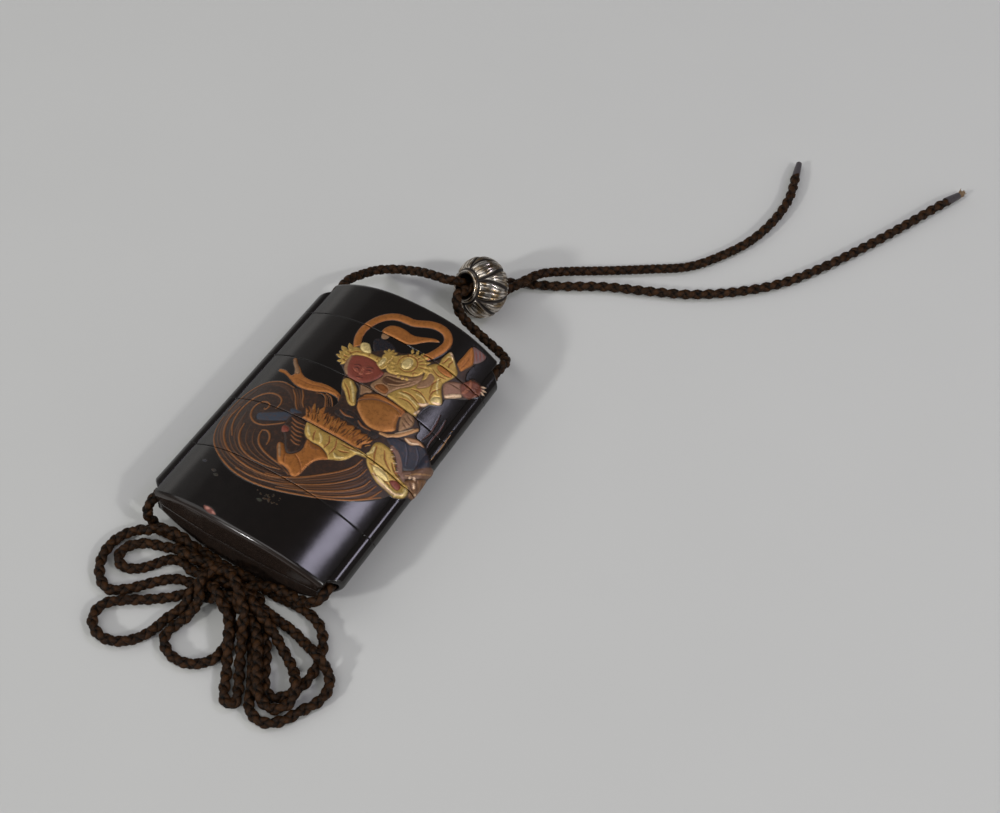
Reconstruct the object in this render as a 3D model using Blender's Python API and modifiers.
"""Inro: a case of five stacked lacquer tiers on a braided cord, lying on its back.

Units are metres, sizes are written in millimetres times MM.  +X runs across the case,
+Y towards the lid and +Z up through the decorated face.  The origin is under the middle
of the case, on the surface that it lies on.
"""
import math

import bmesh
import bpy
from mathutils import Matrix, Vector

MM = 0.001

# Cross-section of the case.
HALF_WIDTH = 26.25 * MM          # middle to the crease between face and side
MID_HEIGHT = 9.95 * MM           # middle of the thickness, above the surface
HALF_BAND = 2.99 * MM            # half the side band between the two creases
FACE_RISE = 6.87 * MM            # crown of the front face above its creases
BACK_RISE = 7.06 * MM            # crown of the back, before its resting flat
DOME_POWER = 2.632               # shape of both crowns
FACE_STEPS = 22                  # facets across a crown
INNER_STEPS = 14                 # facets across the crown of a hollow

# Length of the case.
HALF_LENGTH = 40.0 * MM          # middle to the end of the face
LID_HEIGHT = 11.5 * MM
TIER_HEIGHT = 17.3 * MM
SEAM_GAP = 0.3 * MM
END_ROUND = 1.3 * MM             # rounding from a face to an end
END_BULGE = 1.1 * MM             # how far an end is convex in plan
END_STRIPS = 16

TRIM = 1.0 * MM                  # how far shapes overlap or pass a plane that trims them

# Hollows.  An inset is measured down from the crown.
CAVITY_HALF = 22.3 * MM
CAVITY_INSET = 2.0 * MM
RISER_HALF = 23.15 * MM
RISER_INSET = 1.15 * MM
RISER_HEIGHT = 5.0 * MM
SOCKET_HALF = 23.45 * MM
SOCKET_INSET = 0.85 * MM
SOCKET_DEPTH = 5.3 * MM
FLOOR = 1.2 * MM
LID_HOLLOW_END = 38.0 * MM       # y of the lid's inner ceiling
CASE_FLOOR_END = -38.8 * MM      # y of the bottom tier's floor

# Cord runners along the sides.
RUNNER_X = 26.7 * MM
RUNNER_RADIUS = 2.85 * MM
RUNNER_SHORT = 2.3 * MM          # how far a runner's axis stops short of the face's end
RUNNER_SHORT_LOW = 1.1 * MM      # and how far at its lower end
RUNNER_SIDES = 20
SHOULDER_SLOPE = 0.8             # how fast a runner's end falls away from the face
SHOULDER_BLUNT = 0.8 * MM
BORE_RADIUS = 1.9 * MM
BORE_SIDES = 16

# Cord.
CORD_RADIUS = 1.55 * MM
CORD_RESOLUTION = 2
CORD_GAP = 0.3 * MM
CORD_INSIDE = 6.0 * MM           # how far a free end of the cord starts inside a runner
SPAN_STEPS = 2                   # tube points for each span between route points

# Bead.
BEAD_CENTRE = Vector((6.2, 64.3, 8.35)) * MM
BEAD_AXIS = Vector((-0.413, -0.729, 0.547)).normalized()
BEAD_RADIUS = 8.85 * MM
BEAD_HALF_LENGTH = 5.9 * MM
BEAD_HOLE = 3.6 * MM
BEAD_LIP = 4.5 * MM
BEAD_SIDES = 24
PAIR_OFFSET = 1.68 * MM          # each cord's middle from the axis of the bead
PAIR_TURN = [                    # share of the bead's half length, degrees, share of offset
    (1.0, 0.0, 1.0), (0.5, 45.0, 1.12), (0.0, 90.0, 1.12), (-0.5, 135.0, 1.12),
    (-1.0, 180.0, 1.0),
]

# Ends of the cord.
TIP_LENGTH = 7.0 * MM
TIP_RADIUS = 1.35 * MM
TIP_END_RADIUS = 0.9 * MM
TIP_SIDES = 12

TINY = 0.00001

# Routes of the free cord, in millimetres: points on the surface have the cord's radius as z.
LOW = 1.6
LEFT_LINK = [
    (-26.7, 42.5, 9.8), (-27.4, 47.0, 8.2), (-26.8, 52.0, 5.9), (-24.6, 56.9, 4.4),
    (-20.8, 59.8, 4.3), (-16.2, 60.4, 6.0), (-11.2, 59.7, 9.0), (-5.6, 58.4, 12.1),
    (-1.2, 58.1, 13.4),
]
RIGHT_LINK = [
    (26.7, 42.5, 9.8), (26.0, 45.6, 8.0), (22.4, 48.6, 5.8), (17.8, 50.7, 4.7),
    (13.4, 51.4, 5.9), (9.6, 51.2, 8.8), (6.4, 51.9, 11.8), (4.4, 54.9, 13.3),
]
SHORT_TAIL = [
    (12.6, 72.4, 4.8), (14.4, 76.4, 5.05), (16.6, 80.4, 4.8), (20.2, 85.4, 3.0),
    (24.6, 89.6, 1.85), (29.8, 93.2, LOW), (41.0, 100.9, LOW), (50.6, 108.0, LOW),
    (56.6, 116.6, LOW), (61.3, 126.4, LOW), (63.7, 138.0, LOW), (63.6, 148.6, LOW),
    (61.3, 157.9, LOW),
]
LONG_TAIL = [
    (9.4, 73.8, 2.9), (12.2, 76.6, 1.8), (16.8, 78.8, LOW), (23.0, 82.0, LOW),
    (33.0, 88.0, LOW), (45.0, 93.4, LOW), (56.2, 98.9, LOW), (67.4, 107.2, LOW),
    (76.4, 116.4, LOW), (83.7, 127.8, LOW), (90.6, 141.0, LOW), (97.0, 154.6, LOW),
    (102.3, 166.8, LOW), (104.8, 172.4, LOW),
]
LEFT_LEAD = [
    (-26.7, -42.0, 9.8), (-26.6, -44.4, 8.4), (-26.1, -45.4, 5.8), (-24.7, -45.3, 3.4),
    (-22.0, -44.9, 2.1), (-17.8, -44.5, LOW), (-13.0, -44.6, LOW),
]
RIGHT_LEAD = [
    (26.7, -42.0, 9.8), (26.6, -44.4, 8.4), (26.1, -45.4, 5.8), (24.7, -45.4, 3.4),
    (22.2, -45.1, 2.1), (18.8, -44.9, LOW), (14.9, -45.1, LOW),
]

# Bow, in millimetres: outlines of its outer shapes on the surface, and their heights.
KNOT_OUTLINE = [
    (-11.0, -43.4), (0.0, -43.0), (12.5, -43.4), (13.9, -49.0), (12.0, -57.0), (2.0, -60.4),
    (-9.0, -59.5), (-12.6, -52.0),
]
LEFT_OUTLINE = [
    (-14.0, -47.0), (-26.0, -46.6), (-32.4, -50.5), (-33.2, -57.5), (-29.5, -63.5),
    (-25.0, -67.0), (-24.4, -72.5), (-19.5, -77.0), (-12.0, -76.6), (-7.0, -72.6),
    (-1.0, -73.4), (-1.5, -62.5), (-11.5, -61.8), (-14.2, -54.5),
]
RIGHT_OUTLINE = [
    (15.8, -48.4), (22.5, -48.6), (30.5, -46.8), (35.5, -51.2), (41.5, -57.0), (41.8, -62.0),
    (38.5, -69.5), (34.5, -74.8), (28.5, -76.0), (21.0, -75.8), (10.0, -71.2), (0.6, -72.8),
    (0.6, -63.0), (13.6, -59.2),
]
KNOT_HEIGHT = 9.4 * MM
LOOPS_HEIGHT = 6.3 * MM
BOW_ROUND = 1.2 * MM
BOW_STEPS = 3


def clear_scene():
    for old in list(bpy.data.objects):
        bpy.data.objects.remove(old)


def new_collection(name):
    group = bpy.data.collections.new(name)
    bpy.context.scene.collection.children.link(group)
    return group


def material(name, colour, roughness, metallic=0.0):
    made = bpy.data.materials.new(name)
    made.use_nodes = True
    shader = made.node_tree.nodes["Principled BSDF"]
    shader.inputs["Base Color"].default_value = (*colour, 1.0)
    shader.inputs["Roughness"].default_value = roughness
    shader.inputs["Metallic"].default_value = metallic
    return made


clear_scene()
PARTS = new_collection("inro")
CUTTERS = new_collection("cutters")
LACQUER = material("lacquer", (0.012, 0.010, 0.009), 0.12)
SILK = material("silk_cord", (0.085, 0.035, 0.016), 0.75)
SILVER = material("silver", (0.62, 0.59, 0.55), 0.28, 1.0)
BINDING = material("binding", (0.07, 0.06, 0.07), 0.6)


# --- Outlines and curves ---------------------------------------------------------------


def crown(x, rise):
    """Height of a crowned face above its creases, x from the middle line."""
    return rise * (1.0 - abs(x / HALF_WIDTH) ** DOME_POWER)


def section(half_width, inset, steps):
    """Closed outline (x, z) of the case, or of a hollow that lies inset below its faces."""
    across = [half_width * (2.0 * step / steps - 1.0) for step in range(steps + 1)]
    top = MID_HEIGHT + HALF_BAND - inset
    bottom = MID_HEIGHT - HALF_BAND + inset
    front = [(x, top + crown(x, FACE_RISE)) for x in across]
    back = [(x, max(bottom - crown(x, BACK_RISE), 0.0)) for x in reversed(across)]
    return front + back


def smooth_route(points, steps):
    """Points of a centripetal Catmull-Rom curve through the route's own points."""
    route = [Vector(point) for point in points]
    ends = [2.0 * route[0] - route[1]], [2.0 * route[-1] - route[-2]]
    padded = ends[0] + route + ends[1]
    made = []
    for before, start, stop, after in zip(padded, padded[1:], padded[2:], padded[3:]):
        knots = [0.0]
        for near, far in ((before, start), (start, stop), (stop, after)):
            knots.append(knots[-1] + math.sqrt((far - near).length))
        for step in range(steps):
            at = knots[1] + (knots[2] - knots[1]) * step / steps
            made.append(route_point((before, start, stop, after), knots, at))
    return made + [route[-1]]


def route_point(corners, knots, at):
    """One point of the curve by repeated linear blends (Barry and Goldman's scheme)."""
    level = list(corners)
    for width in (1, 2):
        level = [
            level[i].lerp(level[i + 1], (at - knots[i]) / (knots[i + width] - knots[i]))
            for i in range(len(level) - 1)
        ]
    return level[0].lerp(level[1], (at - knots[1]) / (knots[2] - knots[1]))


# --- Making pieces ---------------------------------------------------------------------


def finish(piece, slot, group=PARTS):
    """Put a piece in its collection with its one material."""
    for home in list(piece.users_collection):
        home.objects.unlink(piece)
    group.objects.link(piece)
    if slot is not None:
        piece.data.materials.clear()
        piece.data.materials.append(slot)
    return piece


def hide_cutter(piece):
    finish(piece, None, CUTTERS)
    piece.hide_render = True
    piece.display_type = "WIRE"
    return piece


def as_mesh(piece):
    """Turn a curve object into a mesh object with its caps welded on."""
    bpy.context.view_layer.update()
    evaluated = piece.evaluated_get(bpy.context.evaluated_depsgraph_get())
    mesh = bpy.data.meshes.new_from_object(evaluated)
    mesh.name = piece.name
    made = bpy.data.objects.new(piece.name + "_solid", mesh)
    made.matrix_world = piece.matrix_world.copy()
    bpy.data.objects.remove(piece)
    bpy.context.scene.collection.objects.link(made)
    work = bmesh.new()
    work.from_mesh(mesh)
    bmesh.ops.remove_doubles(work, verts=work.verts, dist=TINY)
    bmesh.ops.dissolve_limit(
        work, angle_limit=math.radians(0.05), verts=work.verts, edges=work.edges
    )
    bmesh.ops.recalc_face_normals(work, faces=work.faces)
    work.to_mesh(mesh)
    work.free()
    return made


def flat_curve(name, outline, thickness):
    """A filled outline in its own XY plane, extruded both ways from its middle."""
    curve = bpy.data.curves.new(name, "CURVE")
    curve.dimensions = "2D"
    curve.fill_mode = "BOTH"
    curve.extrude = thickness / 2.0
    spline = curve.splines.new("POLY")
    spline.points.add(len(outline) - 1)
    for point, (x, y) in zip(spline.points, outline):
        point.co = (x, y, 0.0, 1.0)
    spline.use_cyclic_u = True
    piece = bpy.data.objects.new(name, curve)
    bpy.context.scene.collection.objects.link(piece)
    return piece


def prism(name, outline, low, high):
    """A solid with the (x, z) outline as its section, from y = low to y = high."""
    piece = flat_curve(name, outline, high - low)
    piece.rotation_euler = (math.radians(90.0), 0.0, 0.0)
    piece.location = (0.0, (low + high) / 2.0, 0.0)
    made = as_mesh(piece)
    made.data.transform(made.matrix_world)
    made.matrix_world = Matrix.Identity(4)
    made.name = name
    return made


def rod(name, x, radius, sides, low, high):
    """A round rod along Y at mid-height."""
    bpy.ops.mesh.primitive_cylinder_add(
        vertices=sides,
        radius=radius,
        depth=high - low,
        location=(x, (low + high) / 2.0, MID_HEIGHT),
        rotation=(math.radians(90.0), 0.0, 0.0),
    )
    piece = bpy.context.object
    piece.name = name
    return piece


def slope_end(piece, end):
    """Slope a runner's end at y = end away from the face, and blunt its rim."""
    bpy.context.view_layer.update()
    piece.data.transform(piece.matrix_world)
    piece.matrix_world = Matrix.Identity(4)
    work = bmesh.new()
    work.from_mesh(piece.data)
    tip = {vert for vert in work.verts if abs(vert.co.y - end) < TINY}
    rim = [edge for edge in work.edges if all(vert in tip for vert in edge.verts)]
    for vert in tip:
        vert.co.y -= math.copysign(SHOULDER_SLOPE, end) * (abs(vert.co.x) - RUNNER_X)
    bmesh.ops.bevel(
        work, geom=rim, offset=SHOULDER_BLUNT, segments=1, affect="EDGES", loop_slide=True
    )
    work.to_mesh(piece.data)
    work.free()


def block(name, low, high):
    """A block that takes in the whole section, from y = low to y = high."""
    bpy.ops.mesh.primitive_cube_add(size=1.0, location=(0.0, (low + high) / 2.0, MID_HEIGHT))
    piece = bpy.context.object
    piece.scale = (4.0 * HALF_WIDTH, high - low, 2.0 * HALF_WIDTH)
    piece.name = name
    return piece


def combine(piece, other, operation):
    """Cut another solid out of a piece, or join it on."""
    hide_cutter(other)
    step = piece.modifiers.new(other.name, "BOOLEAN")
    step.operation = operation
    step.object = other
    step.solver = "EXACT"


def crown_end(piece, side):
    """Make the end at y = side * (HALF_LENGTH + END_ROUND) convex in plan and round its rim."""
    work = bmesh.new()
    work.from_mesh(piece.data)
    end = side * (HALF_LENGTH + END_ROUND)
    for strip in range(1, END_STRIPS):
        x = HALF_WIDTH * (2.0 * strip / END_STRIPS - 1.0)
        everything = work.verts[:] + work.edges[:] + work.faces[:]
        bmesh.ops.bisect_plane(
            work, geom=everything, dist=TINY, plane_co=(x, 0.0, 0.0), plane_no=(1.0, 0.0, 0.0)
        )
    tip = [vert for vert in work.verts if abs(vert.co.y - end) < TINY]
    inside = {face for face in work.faces if all(vert in tip for vert in face.verts)}
    rim = [
        edge for edge in work.edges
        if sum(face in inside for face in edge.link_faces) == 1
    ]
    for vert in tip:
        vert.co.y += side * END_BULGE * (1.0 - (vert.co.x / HALF_WIDTH) ** 2)
    bmesh.ops.bevel(
        work, geom=rim, offset=END_ROUND, segments=3, profile=0.5, affect="EDGES"
    )
    work.to_mesh(piece.data)
    work.free()


# --- The case --------------------------------------------------------------------------


def tier(name, low, high, riser, socket, hollow_low, hollow_high):
    """One tier from y = low to y = high, with its runners, riser, socket and compartment."""
    ends_low = low <= -HALF_LENGTH
    ends_high = high >= HALF_LENGTH
    body_low = low - (END_ROUND if ends_low else TRIM)
    body_high = high + (END_ROUND if ends_high else TRIM)
    piece = prism(name, section(HALF_WIDTH, 0.0, FACE_STEPS), body_low, body_high)
    if ends_high:
        crown_end(piece, 1.0)
    if ends_low:
        crown_end(piece, -1.0)
    run_low = low + (RUNNER_SHORT_LOW if ends_low else -2.0 * TRIM)
    run_high = high - (RUNNER_SHORT if ends_high else -2.0 * TRIM)
    for side, word in ((-1.0, "left"), (1.0, "right")):
        runner = rod(
            f"{name}_{word}_runner", side * RUNNER_X, RUNNER_RADIUS, RUNNER_SIDES, run_low, run_high
        )
        if ends_low:
            slope_end(runner, run_low)
        if ends_high:
            slope_end(runner, run_high)
        combine(piece, runner, "UNION")
    if not ends_low:
        combine(piece, block(f"{name}_lower_trim", low - 3.0 * TRIM, low), "DIFFERENCE")
    if not ends_high:
        combine(piece, block(f"{name}_upper_trim", high, high + 3.0 * TRIM), "DIFFERENCE")
    if riser:
        outline = section(RISER_HALF, RISER_INSET, INNER_STEPS)
        combine(piece, prism(f"{name}_riser", outline, high - TRIM, high + RISER_HEIGHT), "UNION")
    if socket:
        outline = section(SOCKET_HALF, SOCKET_INSET, INNER_STEPS)
        combine(piece, prism(f"{name}_socket", outline, low - TRIM, low + SOCKET_DEPTH), "DIFFERENCE")
    outline = section(CAVITY_HALF, CAVITY_INSET, INNER_STEPS)
    combine(piece, prism(f"{name}_hollow", outline, hollow_low, hollow_high), "DIFFERENCE")
    for side, word in ((-1.0, "left"), (1.0, "right")):
        bore = rod(
            f"{name}_{word}_bore", side * RUNNER_X, BORE_RADIUS, BORE_SIDES,
            low - END_ROUND - TRIM, high + END_ROUND + TRIM,
        )
        combine(piece, bore, "DIFFERENCE")
    return finish(piece, LACQUER)


def build_case():
    """Lid and four tiers, seam by seam from the top."""
    half_gap = SEAM_GAP / 2.0
    seam = HALF_LENGTH - LID_HEIGHT
    tier("lid", seam + half_gap, HALF_LENGTH, False, True, seam, LID_HOLLOW_END)
    for number in (1, 2, 3):
        high = seam - half_gap
        seam -= TIER_HEIGHT
        low = seam + half_gap
        floor = low + SOCKET_DEPTH + FLOOR
        tier(f"case_{number}", low, high, True, True, floor, high + RISER_HEIGHT + TRIM)
    high = seam - half_gap
    tier(
        "case_4", -HALF_LENGTH, high, True, False, CASE_FLOOR_END, high + RISER_HEIGHT + TRIM
    )


# --- The bead --------------------------------------------------------------------------


def bead_profile():
    """Half-section (radius, height), from the top lip down the outer side and back inside."""
    lip_height = BEAD_HALF_LENGTH
    belly_start = math.acos(BEAD_LIP / BEAD_RADIUS)
    full_half = BEAD_HALF_LENGTH / math.sin(belly_start)
    belly = []
    for step in range(9):
        angle = belly_start * (1.0 - 2.0 * step / 8.0)
        belly.append((BEAD_RADIUS * math.cos(angle), full_half * math.sin(angle)))
    return [
        (BEAD_HOLE, lip_height),
        ((BEAD_HOLE + BEAD_LIP) / 2.0, lip_height + 0.3 * MM),
        *belly,
        ((BEAD_HOLE + BEAD_LIP) / 2.0, -lip_height - 0.3 * MM),
        (BEAD_HOLE, -lip_height),
    ]


def build_bead():
    """Turned round its own Z axis, then turned to the tilt that it lies at."""
    profile = bead_profile()
    mesh = bpy.data.meshes.new("bead")
    verts = [(radius, 0.0, height) for radius, height in profile]
    edges = [(i, (i + 1) % len(verts)) for i in range(len(verts))]
    mesh.from_pydata(verts, edges, [])
    piece = bpy.data.objects.new("bead", mesh)
    bpy.context.scene.collection.objects.link(piece)
    turn = piece.modifiers.new("turn", "SCREW")
    turn.steps = BEAD_SIDES
    turn.render_steps = BEAD_SIDES
    turn.use_merge_vertices = True
    turn.merge_threshold = TINY
    piece.rotation_euler = BEAD_AXIS.to_track_quat("Z", "Y").to_euler()
    piece.location = BEAD_CENTRE
    return finish(piece, SILVER)


# --- The cord --------------------------------------------------------------------------


def tube(name, points):
    """A cord through the given points, in metres."""
    curve = bpy.data.curves.new(name, "CURVE")
    curve.dimensions = "3D"
    curve.bevel_depth = CORD_RADIUS
    curve.bevel_resolution = CORD_RESOLUTION
    curve.use_fill_caps = True
    spline = curve.splines.new("POLY")
    spline.points.add(len(points) - 1)
    for point, place in zip(spline.points, points):
        point.co = (*place, 1.0)
    piece = bpy.data.objects.new(name, curve)
    return finish(piece, SILK)


def in_metres(route):
    return [Vector(point) * MM for point in route]


def through_bead(side):
    """One cord in the bead, from its upper to its lower mouth: the pair makes a half turn."""
    across = BEAD_AXIS.cross(Vector((0.0, 0.0, 1.0))).normalized()
    over = BEAD_AXIS.cross(across)
    reach = BEAD_AXIS * (BEAD_HALF_LENGTH + 0.6 * MM)
    made = []
    for share, degrees, spread in PAIR_TURN:
        turn = math.radians(degrees)
        aside = across * math.cos(turn) + over * math.sin(turn)
        made.append(BEAD_CENTRE + share * reach + side * spread * PAIR_OFFSET * aside)
    return made


def free_end(name, mouth_x, link, side, tail):
    """A free end of the cord: out of a runner's top, through the bead and along the surface."""
    start = HALF_LENGTH - CORD_INSIDE
    inside = [Vector((mouth_x, start, MID_HEIGHT)), Vector((mouth_x, HALF_LENGTH, MID_HEIGHT))]
    route = inside + in_metres(link) + through_bead(side) + in_metres(tail)
    points = smooth_route(route, SPAN_STEPS)
    tube(name, points)
    return points[-1], (points[-1] - points[-2]).normalized()


def tip(name, end, direction):
    """A bound cord end that tapers a little, just past the cord."""
    flat = Vector((direction.x, direction.y, 0.0)).normalized()
    bpy.ops.mesh.primitive_cone_add(
        vertices=TIP_SIDES,
        radius1=TIP_RADIUS,
        radius2=TIP_END_RADIUS,
        depth=TIP_LENGTH,
        location=end + flat * (CORD_GAP + TIP_LENGTH / 2.0),
        rotation=flat.to_track_quat("Z", "Y").to_euler(),
    )
    piece = bpy.context.object
    piece.name = name
    finish(piece, BINDING)


def build_cord():
    run = HALF_LENGTH - CORD_INSIDE - CORD_GAP
    for side, word in ((-1.0, "left"), (1.0, "right")):
        x = side * RUNNER_X
        tube(f"cord_{word}_run", [Vector((x, y, MID_HEIGHT)) for y in (-run, 0.0, run)])
    tip("tip_short", *free_end("cord_short_end", -RUNNER_X, LEFT_LINK, 1.0, SHORT_TAIL))
    tip("tip_long", *free_end("cord_long_end", RUNNER_X, RIGHT_LINK, -1.0, LONG_TAIL))
    for side, word, lead in ((-1.0, "left", LEFT_LEAD), (1.0, "right", RIGHT_LEAD)):
        start = CORD_INSIDE - HALF_LENGTH
        inside = [Vector((side * RUNNER_X, y, MID_HEIGHT)) for y in (start, -HALF_LENGTH)]
        tube(f"cord_{word}_lead", smooth_route(inside + in_metres(lead), SPAN_STEPS))


def rounded_outline(corners, steps):
    """A closed smooth outline (quadratic B-spline) with the given corner points."""
    made = []
    count = len(corners)
    for index in range(count):
        before = Vector(corners[index - 1])
        here = Vector(corners[index])
        after = Vector(corners[(index + 1) % count])
        start = (before + here) / 2.0
        stop = (here + after) / 2.0
        for step in range(steps):
            at = step / steps
            made.append(start.lerp(here, at).lerp(here.lerp(stop, at), at) * MM)
    return made


def hank(name, corners, height):
    """The outer shape of a bundle of loops on the surface: an outline with a round rim."""
    outline = [(point.x, point.y) for point in rounded_outline(corners, BOW_STEPS)]
    piece = flat_curve(name, outline, height - 2.0 * BOW_ROUND)
    piece.data.offset = -BOW_ROUND
    piece.data.bevel_depth = BOW_ROUND
    piece.data.bevel_resolution = 1
    piece.location = (0.0, 0.0, height / 2.0)
    return finish(piece, SILK)


def build_bow():
    hank("cord_knot", KNOT_OUTLINE, KNOT_HEIGHT)
    hank("cord_left_loops", LEFT_OUTLINE, LOOPS_HEIGHT)
    hank("cord_right_loops", RIGHT_OUTLINE, LOOPS_HEIGHT)


build_case()
build_bead()
build_cord()
build_bow()
for piece in PARTS.objects:
    if piece.type == "MESH":
        piece.data.shade_smooth()
        piece.data.set_sharp_from_angle(angle=math.radians(30.0))
print(f"{len(PARTS.objects)} pieces")
